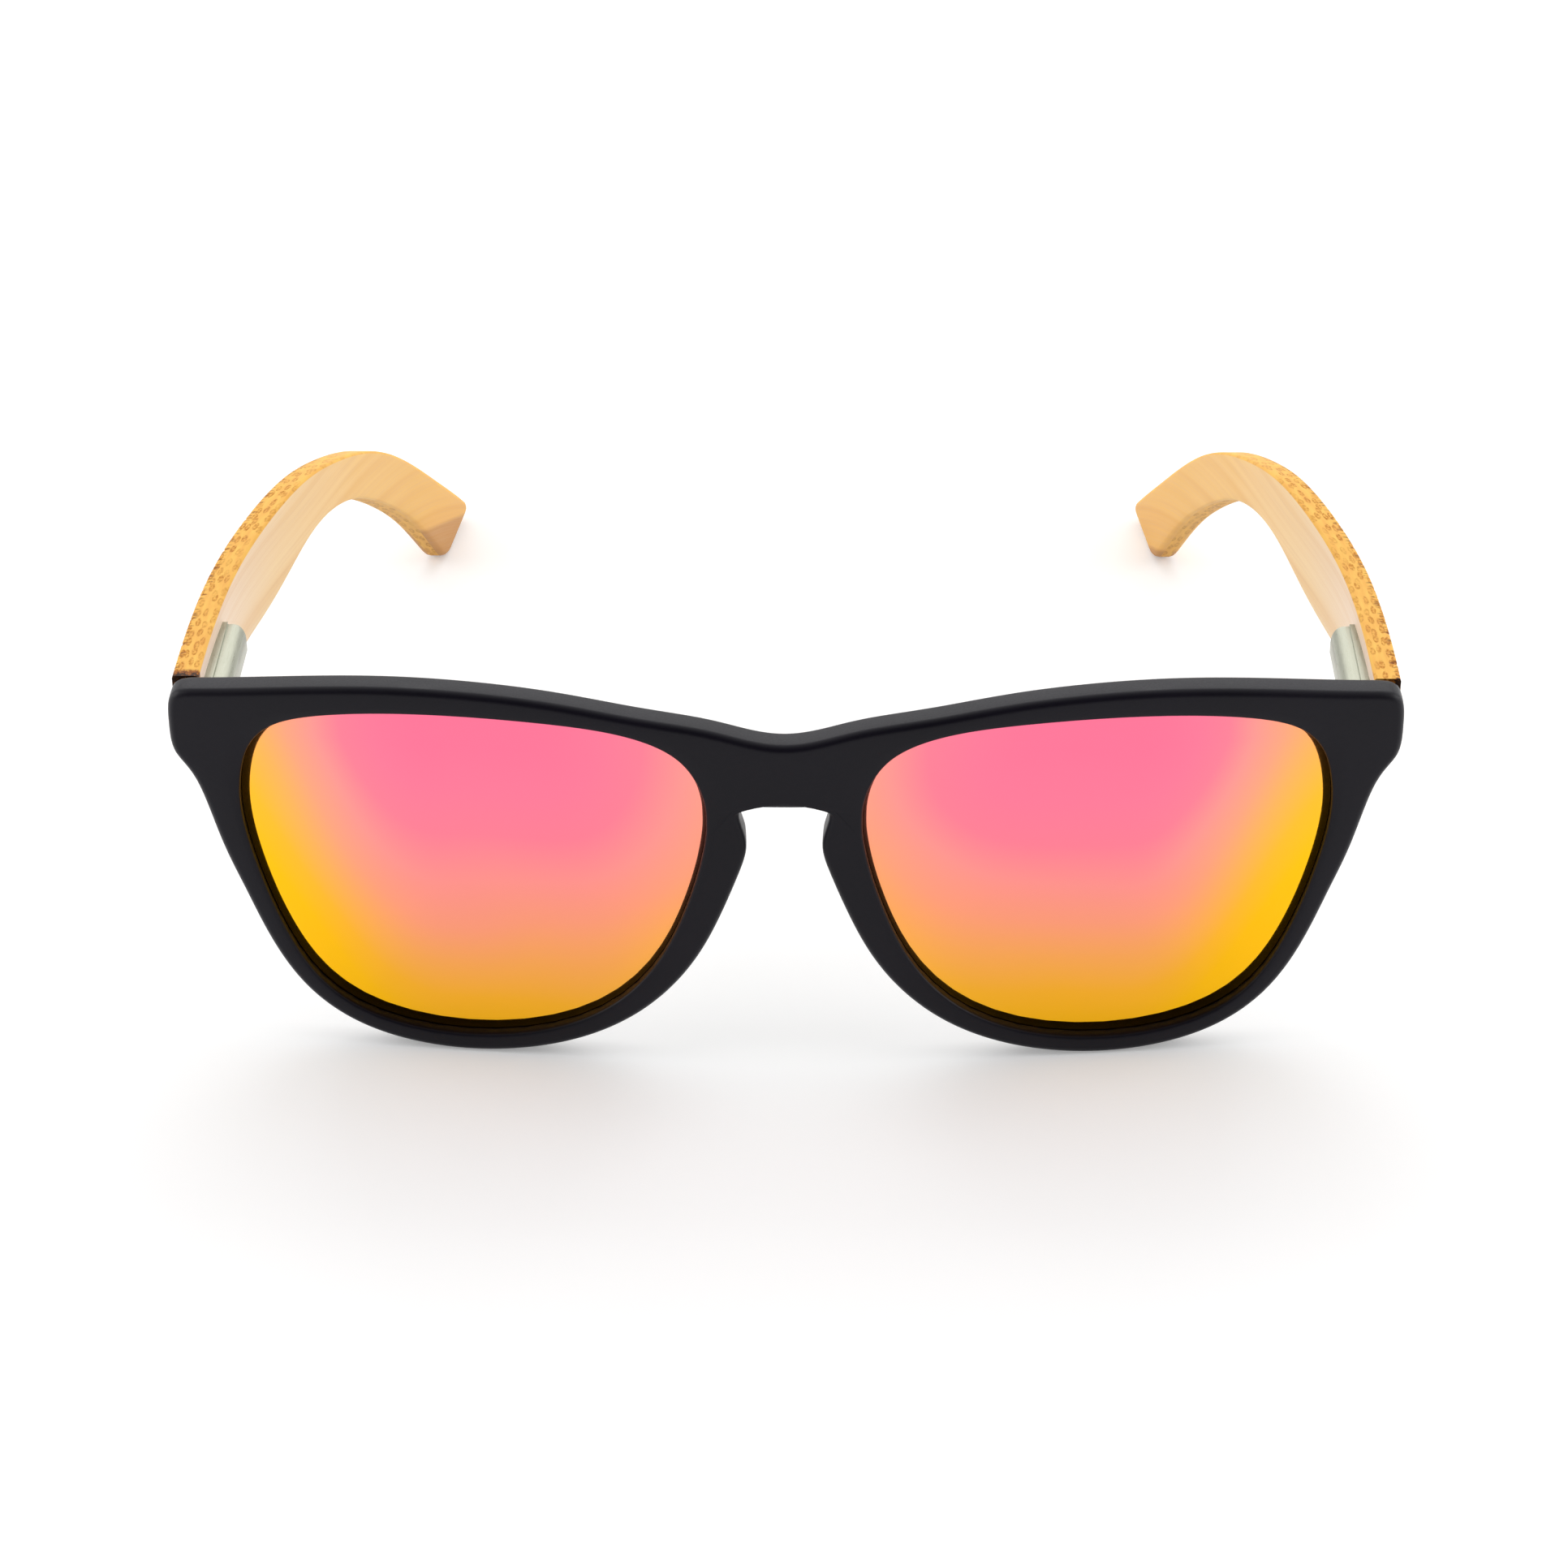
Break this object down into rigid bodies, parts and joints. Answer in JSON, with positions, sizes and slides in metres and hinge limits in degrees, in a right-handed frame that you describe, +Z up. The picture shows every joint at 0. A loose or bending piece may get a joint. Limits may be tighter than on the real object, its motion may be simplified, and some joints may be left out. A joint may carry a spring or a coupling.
{
  "type": "sunglasses",
  "caption": "Sunglasses with a matte black keyhole-bridge front, mirrored lenses and bamboo temples that fold inwards and flex outwards on spring hinges.",
  "frame": {"origin": "middle of the bounding box's bottom: the table surface under the middle of the open sunglasses", "axes": "+Z up from the table, -Y the way the wearer looks, +X towards the wearer's left"},
  "size_m": [0.143, 0.1448, 0.0491],
  "materials": {
    "front_plastic": "matte black, soft touch",
    "lens_mirror": "mirror coat, pink to amber",
    "bamboo": "oiled bamboo",
    "nickel": "nickel plated",
    "spring_steel": "drawn wire"
  },
  "bodies": {
    "front": {"front_frame": "front_plastic", "lens_left": "lens_mirror", "lens_right": "lens_mirror", "hinge_plate_left": "nickel", "hinge_plate_right": "nickel"},
    "left_pin": {"hinge_screw_left": "nickel"},
    "left_slider": {"hinge_slider_left": "nickel", "stem_nut_left": "nickel"},
    "left_temple": {"temple_left": "bamboo", "spring_case_left": "nickel", "stop_bush_left": "nickel", "bush_pin_left": "spring_steel", "coil_spring_left": "spring_steel"},
    "right_pin": {"hinge_screw_right": "nickel"},
    "right_slider": {"hinge_slider_right": "nickel", "stem_nut_right": "nickel"},
    "right_temple": {"temple_right": "bamboo", "spring_case_right": "nickel", "stop_bush_right": "nickel", "bush_pin_right": "spring_steel", "coil_spring_right": "spring_steel"}
  },
  "joints": [
    {"name": "left_flex", "type": "hinge", "parent": "front", "child": "left_pin", "pos_m": [0.0666, -0.05951, 0.041], "axis": [0, 0, 1], "range_deg": [-14, 0], "stiffness_Nm_per_rad": 0.6},
    {"name": "left_fold", "type": "hinge", "parent": "left_pin", "child": "left_slider", "pos_m": [0.0666, -0.05951, 0.041], "axis": [0, 0, 1], "range_deg": [0, 84]},
    {"name": "left_pull", "type": "slide", "parent": "left_slider", "child": "left_temple", "axis": [0, 1, 0], "range_m": [0, 0.00125], "deforming": ["coil_spring_left"]},
    {"name": "right_flex", "type": "hinge", "parent": "front", "child": "right_pin", "pos_m": [-0.0666, -0.05951, 0.041], "axis": [0, 0, -1], "range_deg": [-14, 0], "stiffness_Nm_per_rad": 0.6},
    {"name": "right_fold", "type": "hinge", "parent": "right_pin", "child": "right_slider", "pos_m": [-0.0666, -0.05951, 0.041], "axis": [0, 0, -1], "range_deg": [0, 77]},
    {"name": "right_pull", "type": "slide", "parent": "right_slider", "child": "right_temple", "axis": [0, 1, 0], "range_m": [0, 0.00125], "deforming": ["coil_spring_right"]}
  ],
  "couplings": [
    {"joint": "left_pull", "follows": "left_flex", "m_per_rad": -0.005},
    {"joint": "right_pull", "follows": "right_flex", "m_per_rad": -0.005}
  ]
}
